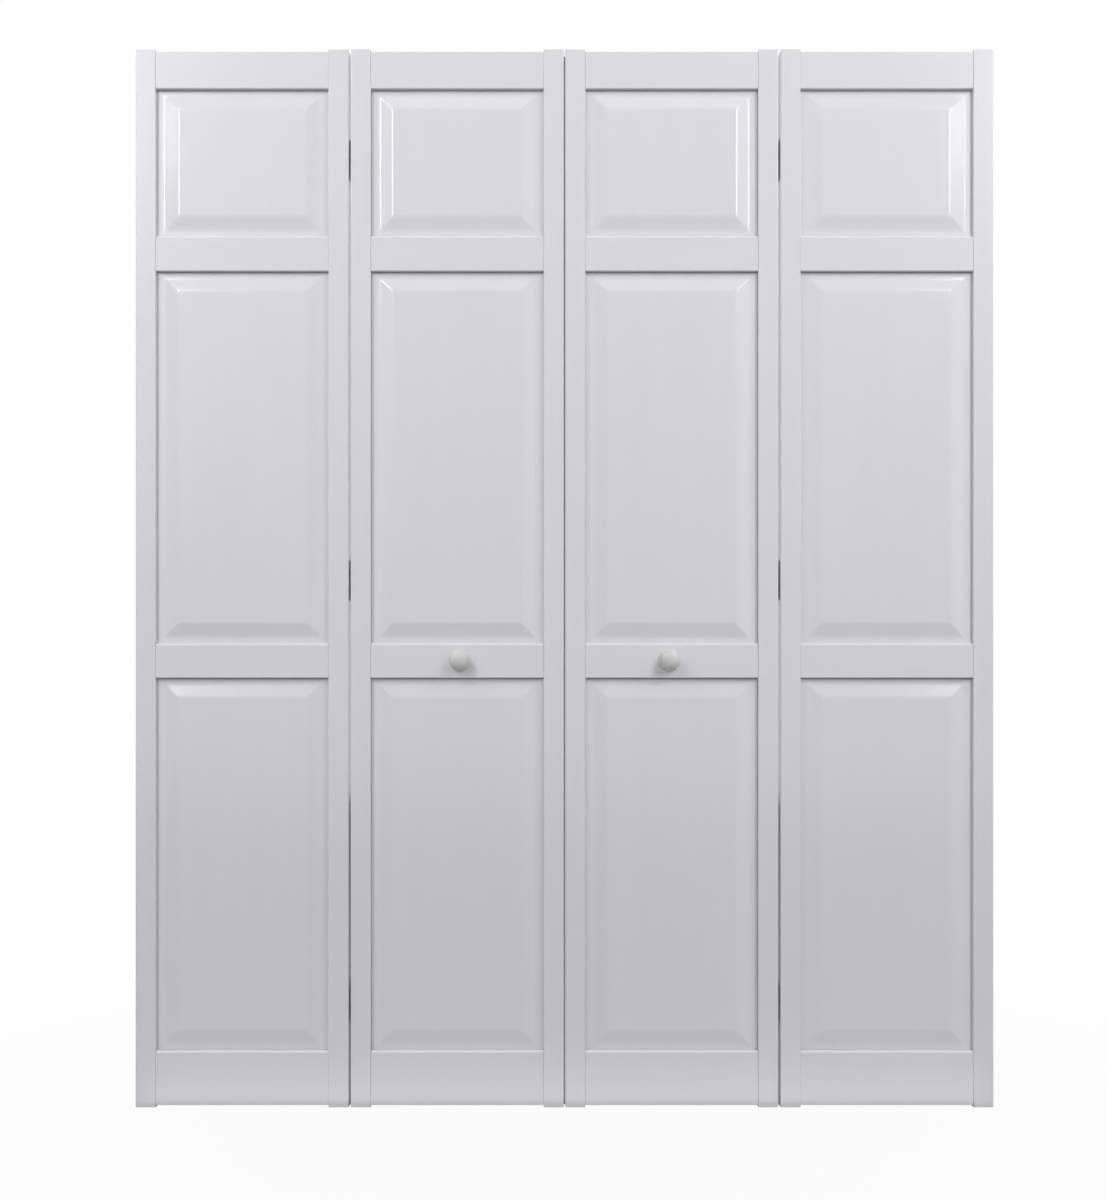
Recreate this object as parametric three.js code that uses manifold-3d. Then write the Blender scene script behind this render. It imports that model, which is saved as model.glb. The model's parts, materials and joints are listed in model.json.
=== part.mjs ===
// Four-leaf bifold closet door: two hinged pairs of raised-panel leaves that fold out into the room.
// Millimetres. X runs along the opening, Y from the room into the closet and Z up.
// The origin lies under the meeting edges, halfway through the leaves, level with the stiles' lower ends.

import * as THREE from "three";
import { mergeVertices } from "three/addons/utils/BufferGeometryUtils.js";
import Module from "manifold-3d";

const wasm = await Module();
wasm.setup();

// Leaves
const doorHeight = 2000;
const leafWidth = 403;
const leafThickness = 28.6;
const foldGap = 3.8;
const meetingGap = 3;

// Stiles
const stileWidth = 38;
const stileEdgeRadius = 3;
const stileInnerRadius = 1;

// Rails and the openings that they leave for the bottom and top panels
const railOffset = 4; // the stiles run on past the top and bottom rails by this much
const railRecess = 1.5; // a rail's face lies this far behind the stiles'
const railChamfer = 4; // along an edge with a panel standing on it
const railEdgeBreak = 0.8; // along an edge over a panel
const bottomRailHeight = 103;
const bottomOpeningHeight = 705;
const lockRailHeight = 66;
const upperRailHeight = 67;
const topOpeningHeight = 278;
const topRailHeight = 69;

// Grooves round each opening, with the panels' tongues and the rails' stub tenons in them
const grooveDepth = 9;
const tongueLength = 8;
const tongueThickness = 3.6;
const seatGap = 0.3; // between pieces that touch

// Raised panels, alike on both faces
const marginThickness = 10;
const fieldRecess = 3.3; // a panel's field lies this far behind the stiles' faces
const sideMargin = 12;
const endMargin = 7.5;
const bevelWidth = 34;
const topReveal = 3.8; // dark gap between a panel's front skin and the rail above it

// Knobs
const knobHeadRadius = 18.8;
const knobHeadRise = 11; // from the widest ring to the crown
const knobHeadUnder = 7; // from the neck up to the widest ring
const knobNeckRadius = 9.5;
const knobNeckHeight = 7;
const knobFootRadius = 20.5;
const knobFootHeight = 7;
const knobFootRim = 2;
const knobShift = 5; // from the middle of its leaf towards the meeting edge
const knobScrewRadius = 2;
const knobScrewReach = 13; // into the knob
const knobScrewHeadRadius = 4.4;
const knobScrewHeadHeight = 2.2;

// Pivot pins and guide pins
const pinInset = 19; // from the leaf's edge to the pin's axis
const pinRadius = 4;
const pinTipChamfer = 1;
const bottomPinLength = 60;
const topPinLength = 42;
const topPinTravel = 12; // and the room that its closed spring takes under it

// Hinges, screwed flat on the backs of the fold stiles
const hingeLength = 76;
const hingeEndDistance = 196; // from the stile's end to the middle of the outer hinges
const knuckleRadius = 3;
const knuckleGap = 0.4;
const hingePinRadius = 1.5;
const hingeAxisOffset = 3; // behind the leaves' backs
const plateThickness = 1.6;
const plateWidth = 19; // of the flat, from the knuckles' running gap outwards
const plateCornerRadius = 3;
const plateKnuckleClearance = 0.2; // between one plate's flat and the other plate's knuckles
const hingeScrewRadius = 1.6;
const hingeScrewLength = 14;
const hingeScrewHeadRadius = 3.2;
const hingeScrewHeadHeight = 0.8;
const hingeScrewPitch = 25;
const hingeScrewInset = 10; // of the middle screw's axis from the flat's inner edge
const hingeScrewStagger = 3; // of the end screws towards the knuckles

// How finely round shapes are cut
const weldDistance = 0.001;
const cornerSteps = 3;
const pinSides = 16;
const knuckleSides = 12;
const screwSides = 8;
const knobSides = 24;
const knobArcSteps = 5;
const drillOverrun = 5; // how far a cutting tool runs out past the face that it enters
const knuckleCount = 5;

// Sizes that follow
const halfThickness = leafThickness / 2;
const railHalfThickness = halfThickness - railRecess;
const openingWidth = leafWidth - 2 * stileWidth;
const pairWidth = 2 * leafWidth + foldGap;
const grooveHalfWidth = tongueThickness / 2 + seatGap;
const lockRailBase = railOffset + bottomRailHeight + bottomOpeningHeight;
const topRailBase = doorHeight - railOffset - topRailHeight;
const upperRailBase = topRailBase - topOpeningHeight - upperRailHeight;
const hingeAxisY = halfThickness + hingeAxisOffset;
const plateFront = halfThickness + seatGap;
const plateBack = plateFront + plateThickness;
const plateEdge = knuckleRadius + plateKnuckleClearance;
const hingeHeights = [hingeEndDistance, doorHeight / 2, doorHeight - hingeEndDistance];
const hingeNames = ["lower", "middle", "upper"];
const knobHeight = lockRailBase + lockRailHeight / 2;

// Finishes
const whiteVinyl = new THREE.MeshStandardMaterial({ color: 0xe6e6ea, roughness: 0.38, metalness: 0 });
const whiteKnob = new THREE.MeshStandardMaterial({ color: 0xe2e3dd, roughness: 0.3, metalness: 0 });
const zincSteel = new THREE.MeshStandardMaterial({ color: 0xbfc2c4, roughness: 0.35, metalness: 1 });

// A local axis triple that lays an outline's x, y and extrusion along the axes named
const alongX = new THREE.Matrix4().makeBasis(
  new THREE.Vector3(0, 1, 0),
  new THREE.Vector3(0, 0, 1),
  new THREE.Vector3(1, 0, 0),
);
const towardRoom = new THREE.Matrix4().makeBasis(
  new THREE.Vector3(1, 0, 0),
  new THREE.Vector3(0, 0, 1),
  new THREE.Vector3(0, -1, 0),
);

// Solid and mesh helpers

function solidOf(geometry) {
  const bare = geometry.clone();
  bare.deleteAttribute("normal");
  bare.deleteAttribute("uv");
  const merged = mergeVertices(bare, weldDistance);
  return new wasm.Manifold(
    new wasm.Mesh({
      numProp: 3,
      vertProperties: merged.attributes.position.array,
      triVerts: new Uint32Array(merged.index.array),
    }),
  );
}

function meshOf(name, solid, material) {
  const { vertProperties, triVerts } = solid.getMesh();
  const indexed = new THREE.BufferGeometry();
  indexed.setAttribute("position", new THREE.BufferAttribute(vertProperties, 3));
  indexed.setIndex(new THREE.BufferAttribute(triVerts, 1));
  const faceted = indexed.toNonIndexed();
  faceted.computeVertexNormals();
  const mesh = new THREE.Mesh(faceted, material);
  mesh.name = name;
  return mesh;
}

function extruded(shape, depth, curveSegments = cornerSteps) {
  return new THREE.ExtrudeGeometry(shape, { depth, bevelEnabled: false, curveSegments });
}

function box(width, depth, height, x, y, z) {
  return solidOf(new THREE.BoxGeometry(width, depth, height).translate(x, y, z));
}

// A round bar along Z from a base height
function uprightBar(radius, length, x, y, base, sides) {
  const bar = new THREE.CylinderGeometry(radius, radius, length, sides);
  bar.rotateX(Math.PI / 2);
  return solidOf(bar.translate(x, y, base + length / 2));
}

// A round bar along Y from its end nearest the room
function crossBar(radius, length, x, front, z, sides) {
  const bar = new THREE.CylinderGeometry(radius, radius, length, sides);
  return solidOf(bar.translate(x, front + length / 2, z));
}

function revolved(profile, sides) {
  const points = profile.map(([radius, height]) => new THREE.Vector2(radius, height));
  return new THREE.LatheGeometry(points, sides);
}

// Frame members

// A stile with its outer edge on x 0 and its grooved edge towards +X
function stileBlank() {
  const outline = new THREE.Shape();
  outline.moveTo(stileEdgeRadius, -halfThickness);
  outline.lineTo(stileWidth - stileInnerRadius, -halfThickness);
  outline.absarc(
    stileWidth - stileInnerRadius,
    -halfThickness + stileInnerRadius,
    stileInnerRadius,
    -Math.PI / 2,
    0,
    false,
  );
  outline.lineTo(stileWidth, -grooveHalfWidth);
  outline.lineTo(stileWidth - grooveDepth, -grooveHalfWidth);
  outline.lineTo(stileWidth - grooveDepth, grooveHalfWidth);
  outline.lineTo(stileWidth, grooveHalfWidth);
  outline.lineTo(stileWidth, halfThickness - stileInnerRadius);
  outline.absarc(
    stileWidth - stileInnerRadius,
    halfThickness - stileInnerRadius,
    stileInnerRadius,
    0,
    Math.PI / 2,
    false,
  );
  outline.lineTo(stileEdgeRadius, halfThickness);
  outline.absarc(
    stileEdgeRadius,
    halfThickness - stileEdgeRadius,
    stileEdgeRadius,
    Math.PI / 2,
    Math.PI,
    false,
  );
  outline.lineTo(0, -halfThickness + stileEdgeRadius);
  outline.absarc(
    stileEdgeRadius,
    -halfThickness + stileEdgeRadius,
    stileEdgeRadius,
    Math.PI,
    1.5 * Math.PI,
    false,
  );
  return extruded(outline, doorHeight);
}

// The same stile on the leaf's left or right side
function stileOn(side) {
  const blank = stileBlank();
  if (side === "right") {
    blank.rotateZ(Math.PI);
    blank.translate(leafWidth, 0, 0);
  }
  return solidOf(blank);
}

function pinAxisX(side) {
  return side === "left" ? pinInset : leafWidth - pinInset;
}

function bottomPinBore(side) {
  const depth = bottomPinLength + seatGap;
  const length = depth + drillOverrun;
  return uprightBar(pinRadius + seatGap, length, pinAxisX(side), 0, -drillOverrun, pinSides);
}

function topPinBore(side) {
  const depth = topPinLength + topPinTravel;
  const length = depth + drillOverrun;
  return uprightBar(pinRadius + seatGap, length, pinAxisX(side), 0, doorHeight - depth, pinSides);
}

// Screws of one hinge plate, as distances from the hinge axis and heights from the hinge's middle
function hingeScrewPlaces() {
  const middle = plateEdge + hingeScrewInset;
  const end = middle - hingeScrewStagger;
  return [
    [end, -hingeScrewPitch],
    [middle, 0],
    [end, hingeScrewPitch],
  ];
}

// The pilot holes that a leaf's three hinge plates need in its fold stile
function hingePilotHoles(foldSide) {
  const axisX = hingeAxisX(foldSide);
  const inward = foldSide === "left" ? 1 : -1;
  const depth = hingeScrewLength + seatGap;
  const holes = hingeHeights.flatMap((height) =>
    hingeScrewPlaces().map(([distance, rise]) =>
      crossBar(
        hingeScrewRadius + seatGap,
        depth + drillOverrun,
        axisX + inward * distance,
        halfThickness - depth,
        height + rise,
        screwSides,
      ),
    ),
  );
  return wasm.Manifold.union(holes);
}

function hingeAxisX(foldSide) {
  return foldSide === "left" ? -foldGap / 2 : leafWidth + foldGap / 2;
}

// A rail's section, grooved where a panel stands under or on it
function railOutline(height, panelUnder, panelOver) {
  const lowerBreak = panelUnder ? railEdgeBreak : 0;
  const upperBreak = panelOver ? railChamfer : 0;
  const outline = new THREE.Shape();
  outline.moveTo(-railHalfThickness + lowerBreak, 0);
  if (panelUnder) {
    outline.lineTo(-grooveHalfWidth, 0);
    outline.lineTo(-grooveHalfWidth, grooveDepth);
    outline.lineTo(grooveHalfWidth, grooveDepth);
    outline.lineTo(grooveHalfWidth, 0);
  }
  outline.lineTo(railHalfThickness - lowerBreak, 0);
  outline.lineTo(railHalfThickness, lowerBreak);
  outline.lineTo(railHalfThickness, height - upperBreak);
  outline.lineTo(railHalfThickness - upperBreak, height);
  if (panelOver) {
    outline.lineTo(grooveHalfWidth, height);
    outline.lineTo(grooveHalfWidth, height - grooveDepth);
    outline.lineTo(-grooveHalfWidth, height - grooveDepth);
    outline.lineTo(-grooveHalfWidth, height);
  }
  outline.lineTo(-railHalfThickness + upperBreak, height);
  outline.lineTo(-railHalfThickness, height - upperBreak);
  outline.lineTo(-railHalfThickness, lowerBreak);
  return outline;
}

// A rail between the stiles, with stub tenons that reach into their grooves
function rail(base, height, panelUnder, panelOver) {
  const shoulderLength = openingWidth - 2 * seatGap;
  const section = extruded(railOutline(height, panelUnder, panelOver), shoulderLength);
  section.applyMatrix4(alongX);
  section.translate(stileWidth + seatGap, 0, base);

  const tenonFoot = panelUnder ? grooveDepth : 0;
  const tenonHead = panelOver ? height - grooveDepth : height;
  const tenons = box(
    openingWidth + 2 * tongueLength,
    tongueThickness,
    tenonHead - tenonFoot,
    leafWidth / 2,
    0,
    base + (tenonFoot + tenonHead) / 2,
  );
  return solidOf(section).add(tenons);
}

// Raised panels

// Rise from a soft outer crease over a straight slope to a soft inner crease, both as shares
const creaseShare = 0.2;
const bevelStepShares = [0, creaseShare / 2, creaseShare, 1 - creaseShare, 1 - creaseShare / 2, 1];

function bevelRise(share) {
  const curve = 2 * creaseShare * (1 - creaseShare);
  if (share < creaseShare) return share ** 2 / curve;
  if (share > 1 - creaseShare) return 1 - (1 - share) ** 2 / curve;
  return (share - creaseShare / 2) / (1 - creaseShare);
}

// The rectangles that step one face of a panel from its tongue's edge in to its field
function panelRings() {
  const shoulder = tongueLength + seatGap;
  const margin = marginThickness / 2;
  const field = halfThickness - fieldRecess;
  const topShoulder = tongueLength + topReveal;
  const rings = [
    { side: 0, bottom: 0, top: 0, depth: tongueThickness / 2 },
    { side: shoulder, bottom: shoulder, top: topShoulder, depth: tongueThickness / 2 },
    { side: shoulder, bottom: shoulder, top: topShoulder, depth: margin },
  ];
  for (const share of bevelStepShares) {
    rings.push({
      side: tongueLength + sideMargin + bevelWidth * share,
      bottom: tongueLength + endMargin + bevelWidth * share,
      top: tongueLength + endMargin + bevelWidth * share,
      depth: margin + (field - margin) * bevelRise(share),
    });
  }
  return rings;
}

// One panel for the opening between two heights
function raisedPanel(openingBase, openingTop) {
  const left = stileWidth - tongueLength;
  const right = leafWidth - left;
  const bottom = openingBase - tongueLength;
  const top = openingTop + tongueLength;
  const face = panelRings();
  const front = face.toReversed().map((ring) => ({ ...ring, y: -ring.depth }));
  const back = face.map((ring) => ({ ...ring, y: ring.depth }));
  const rings = [...front, ...back];

  const corners = rings.flatMap((ring) => [
    left + ring.side, ring.y, bottom + ring.bottom,
    right - ring.side, ring.y, bottom + ring.bottom,
    right - ring.side, ring.y, top - ring.top,
    left + ring.side, ring.y, top - ring.top,
  ]);
  const triangles = [0, 1, 2, 0, 2, 3];
  for (let ring = 0; ring < rings.length - 1; ring += 1) {
    for (let corner = 0; corner < 4; corner += 1) {
      const a = 4 * ring + corner;
      const b = 4 * ring + ((corner + 1) % 4);
      triangles.push(a, a + 4, b + 4, a, b + 4, b);
    }
  }
  const last = 4 * (rings.length - 1);
  triangles.push(last, last + 2, last + 1, last, last + 3, last + 2);

  const geometry = new THREE.BufferGeometry();
  geometry.setAttribute("position", new THREE.Float32BufferAttribute(corners, 3));
  geometry.setIndex(triangles);
  return solidOf(geometry);
}

// Knob and its screw

// Points of a quarter ellipse between two corners of its box, leaving the first point out
function quarterArc(startRadius, startHeight, endRadius, endHeight, bulgesOut) {
  const points = [];
  for (let step = 1; step <= knobArcSteps; step += 1) {
    const angle = (step / knobArcSteps) * (Math.PI / 2);
    const radiusShare = bulgesOut ? Math.sin(angle) : 1 - Math.cos(angle);
    const heightShare = bulgesOut ? 1 - Math.cos(angle) : Math.sin(angle);
    points.push([
      startRadius + (endRadius - startRadius) * radiusShare,
      startHeight + (endHeight - startHeight) * heightShare,
    ]);
  }
  return points;
}

// A mushroom knob on a flared foot, drilled up its middle for the screw
function knob(x) {
  const neckBase = knobFootHeight;
  const neckTop = neckBase + knobNeckHeight;
  const widest = neckTop + knobHeadUnder;
  const crown = widest + knobHeadRise;
  const holeRadius = knobScrewRadius + seatGap;
  const holeDepth = knobScrewReach + seatGap;
  const profile = [
    [0, holeDepth],
    [holeRadius, holeDepth],
    [holeRadius, 0],
    [knobFootRadius, 0],
    [knobFootRadius, knobFootRim],
    ...quarterArc(knobFootRadius, knobFootRim, knobNeckRadius, neckBase, true),
    [knobNeckRadius, neckTop],
    ...quarterArc(knobNeckRadius, neckTop, knobHeadRadius, widest, true),
    ...quarterArc(knobHeadRadius, widest, 0, crown, false),
  ];
  const turned = revolved(profile, knobSides);
  turned.rotateX(Math.PI);
  turned.translate(x, -railHalfThickness - seatGap, knobHeight);
  return solidOf(turned);
}

// The screw that comes through the lock rail from the closet side
function knobScrew(x) {
  const tip = -(2 * railHalfThickness + 2 * seatGap + knobScrewReach);
  const profile = [
    [0, tip],
    [knobScrewRadius, tip],
    [knobScrewRadius, 0],
    [knobScrewHeadRadius, 0],
    [knobScrewHeadRadius, knobScrewHeadHeight / 2],
    [knobScrewHeadRadius / 2, knobScrewHeadHeight],
    [0, knobScrewHeadHeight],
  ];
  const turned = revolved(profile, knobSides / 2);
  turned.translate(x, railHalfThickness + seatGap, knobHeight);
  return solidOf(turned);
}

function knobScrewHole(x) {
  const length = 2 * railHalfThickness + 2 * drillOverrun;
  const front = -railHalfThickness - drillOverrun;
  return crossBar(knobScrewRadius + seatGap, length, x, front, knobHeight, knobSides / 2);
}

// Pins

// A round pin with chamfered ends, its foot at a height
function pivotPin(length, x, base) {
  const tipRadius = pinRadius - pinTipChamfer;
  const profile = [
    [0, 0],
    [tipRadius, 0],
    [pinRadius, pinTipChamfer],
    [pinRadius, length - pinTipChamfer],
    [tipRadius, length],
    [0, length],
  ];
  const turned = revolved(profile, pinSides);
  turned.rotateX(Math.PI / 2);
  turned.translate(x, 0, base);
  return solidOf(turned);
}

// Hinges

function plateOutline() {
  const r = plateCornerRadius;
  const outline = new THREE.Shape();
  outline.moveTo(0, -hingeLength / 2);
  outline.lineTo(plateWidth - r, -hingeLength / 2);
  outline.absarc(plateWidth - r, -hingeLength / 2 + r, r, -Math.PI / 2, 0, false);
  outline.lineTo(plateWidth, hingeLength / 2 - r);
  outline.absarc(plateWidth - r, hingeLength / 2 - r, r, 0, Math.PI / 2, false);
  outline.lineTo(0, hingeLength / 2);
  return outline;
}

function hingeScrew(x, z) {
  const embedded = plateThickness / 2;
  const profile = [
    [0, -plateThickness - hingeScrewLength],
    [hingeScrewRadius, -plateThickness - hingeScrewLength],
    [hingeScrewRadius, -embedded],
    [hingeScrewHeadRadius, -embedded],
    [hingeScrewHeadRadius, 0],
    [0, hingeScrewHeadHeight],
  ];
  const turned = revolved(profile, screwSides);
  turned.translate(x, plateBack, z);
  return solidOf(turned);
}

// One plate with its knuckles and screws: the left plate carries the pin, the right one turns on it
function hingePlate(side, axisX, height) {
  const outward = side === "right" ? 1 : -1;
  const flat = extruded(plateOutline(), plateThickness);
  flat.applyMatrix4(towardRoom);
  if (side === "left") flat.rotateY(Math.PI);
  flat.translate(axisX + outward * plateEdge, plateBack, height);

  const pitch = (hingeLength + knuckleGap) / knuckleCount;
  const knuckleLength = pitch - knuckleGap;
  const pieces = [solidOf(flat)];
  for (let place = side === "left" ? 0 : 1; place < knuckleCount; place += 2) {
    const base = height - hingeLength / 2 + place * pitch;
    const tabWidth = 2 * plateEdge;
    pieces.push(uprightBar(knuckleRadius, knuckleLength, axisX, hingeAxisY, base, knuckleSides));
    pieces.push(
      box(
        tabWidth,
        plateThickness,
        knuckleLength,
        axisX + (outward * tabWidth) / 2,
        plateFront + plateThickness / 2,
        base + knuckleLength / 2,
      ),
    );
  }
  for (const [distance, rise] of hingeScrewPlaces()) {
    pieces.push(hingeScrew(axisX + outward * distance, height + rise));
  }
  const base = height - hingeLength / 2;
  if (side === "left") {
    pieces.push(uprightBar(hingePinRadius, hingeLength, axisX, hingeAxisY, base, knuckleSides));
    return wasm.Manifold.union(pieces);
  }
  const bore = uprightBar(
    hingePinRadius + seatGap,
    hingeLength + 2 * drillOverrun,
    axisX,
    hingeAxisY,
    base - drillOverrun,
    knuckleSides,
  );
  return wasm.Manifold.union(pieces).subtract(bore);
}

// Assembly

const leaves = [
  { name: "left_outer", start: -meetingGap / 2 - pairWidth, foldSide: "right", edgeStile: "pivot" },
  { name: "left_inner", start: -meetingGap / 2 - leafWidth, foldSide: "left", edgeStile: "lead" },
  { name: "right_inner", start: meetingGap / 2, foldSide: "right", edgeStile: "lead" },
  { name: "right_outer", start: meetingGap / 2 + leafWidth + foldGap, foldSide: "left", edgeStile: "pivot" },
];

const rails = [
  { name: "bottom", base: railOffset, height: bottomRailHeight, panelUnder: false, panelOver: true },
  { name: "lock", base: lockRailBase, height: lockRailHeight, panelUnder: true, panelOver: true },
  { name: "upper", base: upperRailBase, height: upperRailHeight, panelUnder: true, panelOver: true },
  { name: "top", base: topRailBase, height: topRailHeight, panelUnder: true, panelOver: false },
];
const panelNames = ["bottom", "middle", "top"];

function buildLeaf({ name, start, foldSide, edgeStile }) {
  const leaf = new THREE.Group();
  leaf.position.x = start;
  const edgeSide = foldSide === "left" ? "right" : "left";
  const pivots = edgeStile === "pivot";

  let outerStile = stileOn(edgeSide).subtract(topPinBore(edgeSide));
  if (pivots) outerStile = outerStile.subtract(bottomPinBore(edgeSide));
  const foldStile = stileOn(foldSide).subtract(hingePilotHoles(foldSide));
  leaf.add(meshOf(`${name}_${edgeStile}_stile`, outerStile, whiteVinyl));
  leaf.add(meshOf(`${name}_fold_stile`, foldStile, whiteVinyl));

  const towardMeeting = edgeSide === "right" ? 1 : -1;
  const knobX = leafWidth / 2 + towardMeeting * knobShift;
  for (const { name: place, base, height, panelUnder, panelOver } of rails) {
    let solid = rail(base, height, panelUnder, panelOver);
    if (place === "lock" && !pivots) solid = solid.subtract(knobScrewHole(knobX));
    leaf.add(meshOf(`${name}_${place}_rail`, solid, whiteVinyl));
  }
  panelNames.forEach((place, index) => {
    const lower = rails[index];
    const upper = rails[index + 1];
    const panel = raisedPanel(lower.base + lower.height, upper.base);
    leaf.add(meshOf(`${name}_${place}_panel`, panel, whiteVinyl));
  });

  const sideName = name.split("_")[0];
  const topPin = pivotPin(topPinLength, pinAxisX(edgeSide), doorHeight - topPinLength);
  if (pivots) {
    const bottomPin = pivotPin(bottomPinLength, pinAxisX(edgeSide), 0);
    leaf.add(meshOf(`${sideName}_bottom_pivot_pin`, bottomPin, zincSteel));
    leaf.add(meshOf(`${sideName}_top_pivot_pin`, topPin, zincSteel));
  } else {
    leaf.add(meshOf(`${sideName}_guide_pin`, topPin, zincSteel));
    leaf.add(meshOf(`${sideName}_knob`, knob(knobX), whiteKnob));
    leaf.add(meshOf(`${sideName}_knob_screw`, knobScrew(knobX), zincSteel));
  }
  return leaf;
}

// The three hinges between two neighbouring leaves, each plate named after its leaf
function buildHinges(leftLeaf, rightLeaf) {
  const hinges = new THREE.Group();
  const axisX = leftLeaf.start + hingeAxisX("right");
  hingeHeights.forEach((height, index) => {
    const place = hingeNames[index];
    const leftPlate = hingePlate("left", axisX, height);
    const rightPlate = hingePlate("right", axisX, height);
    hinges.add(meshOf(`${leftLeaf.name}_${place}_hinge_plate`, leftPlate, zincSteel));
    hinges.add(meshOf(`${rightLeaf.name}_${place}_hinge_plate`, rightPlate, zincSteel));
  });
  return hinges;
}

const door = new THREE.Group();
for (const leaf of leaves) door.add(buildLeaf(leaf));
door.add(buildHinges(leaves[0], leaves[1]));
door.add(buildHinges(leaves[2], leaves[3]));

export default door;
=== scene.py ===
# A white four-leaf bifold closet door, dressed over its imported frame
# Metres. X runs along the opening, Y from the room into the closet, Z up.
import json
import math

import bmesh
import bpy
from mathutils import Matrix, Vector

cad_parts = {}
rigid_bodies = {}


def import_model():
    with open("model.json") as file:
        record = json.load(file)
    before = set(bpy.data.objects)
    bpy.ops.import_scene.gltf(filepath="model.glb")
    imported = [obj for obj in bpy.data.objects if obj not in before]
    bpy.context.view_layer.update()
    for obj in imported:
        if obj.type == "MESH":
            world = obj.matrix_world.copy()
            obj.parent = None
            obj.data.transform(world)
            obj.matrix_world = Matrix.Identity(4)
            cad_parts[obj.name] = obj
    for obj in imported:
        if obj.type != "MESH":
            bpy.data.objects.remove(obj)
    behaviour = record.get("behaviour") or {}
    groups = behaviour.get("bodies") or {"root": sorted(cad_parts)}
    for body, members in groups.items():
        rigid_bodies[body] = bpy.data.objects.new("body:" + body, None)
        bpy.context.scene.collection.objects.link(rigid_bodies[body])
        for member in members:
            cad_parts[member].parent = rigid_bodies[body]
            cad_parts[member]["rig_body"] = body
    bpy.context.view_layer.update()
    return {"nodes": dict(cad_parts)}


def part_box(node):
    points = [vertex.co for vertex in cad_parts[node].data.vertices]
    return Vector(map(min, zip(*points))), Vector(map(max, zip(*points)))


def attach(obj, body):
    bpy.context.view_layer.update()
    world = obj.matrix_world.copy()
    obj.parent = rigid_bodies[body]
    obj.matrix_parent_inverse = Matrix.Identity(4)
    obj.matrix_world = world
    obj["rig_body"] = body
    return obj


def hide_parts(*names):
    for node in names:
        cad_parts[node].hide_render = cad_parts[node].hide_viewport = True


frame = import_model()
print("Frame loaded:", len(frame["nodes"]), "CAD pieces")

mm = 0.001
overrun = 5 * mm  # of a bore's cutter past the face that it opens
smoothing = {"sharpAngle": 34, "weight": 90}


# Meshes

def newPiece(name, mesh):
    if isinstance(mesh, bmesh.types.BMesh):
        data = bpy.data.meshes.new(name)
        mesh.to_mesh(data)
        mesh.free()
        mesh = data
    piece = bpy.data.objects.new(name, mesh)
    bpy.context.scene.collection.objects.link(piece)
    return piece


def runModifiers(piece):
    bpy.context.view_layer.update()
    graph = bpy.context.evaluated_depsgraph_get()
    plain = bpy.data.meshes.new_from_object(piece.evaluated_get(graph), depsgraph=graph)
    piece.modifiers.clear()
    piece.data = plain


def smoothNormals(piece, sharpAngle=smoothing["sharpAngle"]):
    # large faces keep their own normal, and the small ones between them turn the corner
    piece.data.shade_smooth()
    piece.data.set_sharp_from_angle(angle=math.radians(sharpAngle))
    weighted = piece.modifiers.new("weighted normals", "WEIGHTED_NORMAL")
    weighted.keep_sharp = True
    weighted.weight = smoothing["weight"]
    runModifiers(piece)


def combine(piece, other, operation):
    # cuts or adds the other object, which is then gone
    boolean = piece.modifiers.new("combine", "BOOLEAN")
    boolean.operation = operation
    boolean.solver = "EXACT"
    boolean.object = other
    runModifiers(piece)
    bpy.data.objects.remove(other)


def filleted(corners, steps=5, closed=True):
    # corners are (x, y, radius), and a radius of nothing leaves the corner sharp
    points = []
    for i, (x, y, radius) in enumerate(corners):
        here = Vector((x, y))
        ends = not closed and i in (0, len(corners) - 1)
        if radius <= 0 or ends:
            points.append((x, y))
            continue
        before = (Vector(corners[i - 1][:2]) - here).normalized()
        after = (Vector(corners[(i + 1) % len(corners)][:2]) - here).normalized()
        half = before.angle(after) / 2
        centre = here + (before + after).normalized() * radius / math.sin(half)
        start = here + before * radius / math.tan(half) - centre
        end = here + after * radius / math.tan(half) - centre
        first = math.atan2(start.y, start.x)
        sweep = (math.atan2(end.y, end.x) - first + math.pi) % (2 * math.pi) - math.pi
        for step in range(steps + 1):
            angle = first + sweep * step / steps
            points.append((centre.x + radius * math.cos(angle), centre.y + radius * math.sin(angle)))
    return points


def drawnOut(outline, low, high, place, endRound=0.0, endSteps=2):
    # a closed outline drawn out from low to high, with the edges of both ends rounded
    mesh = bmesh.new()
    rings = [[mesh.verts.new(place(a, b, t)) for a, b in outline] for t in (low, high)]
    for i in range(len(outline)):
        j = (i + 1) % len(outline)
        mesh.faces.new((rings[0][i], rings[0][j], rings[1][j], rings[1][i]))
    caps = [mesh.faces.new(rings[0][::-1]), mesh.faces.new(rings[1])]
    bmesh.ops.recalc_face_normals(mesh, faces=mesh.faces)
    if endRound:
        edges = [edge for cap in caps for edge in cap.edges]
        bmesh.ops.bevel(mesh, geom=edges, offset=endRound, segments=endSteps, profile=0.5, affect="EDGES")
    return mesh


def turnedPiece(profile, sides, place):
    # a profile of (radius, height) turned round an axis, closed where it starts and ends on it
    mesh = bmesh.new()
    rings = []
    for radius, height in profile:
        if radius < 1e-9:
            rings.append([mesh.verts.new(place(0, 0, height))])
            continue
        angles = [2 * math.pi * side / sides for side in range(sides)]
        rings.append([mesh.verts.new(place(radius * math.cos(a), radius * math.sin(a), height)) for a in angles])
    for lower, upper in zip(rings, rings[1:]):
        for side in range(sides):
            following = (side + 1) % sides
            corners = [lower[side % len(lower)], lower[following % len(lower)],
                       upper[following % len(upper)], upper[side % len(upper)]]
            corners = list(dict.fromkeys(corners))
            if len(corners) > 2:
                mesh.faces.new(corners)
    if len(rings[0]) > 1:
        for side in range(sides):
            following = (side + 1) % sides
            mesh.faces.new((rings[-1][side], rings[-1][following], rings[0][following], rings[0][side]))
    bmesh.ops.recalc_face_normals(mesh, faces=mesh.faces)
    return mesh


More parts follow.
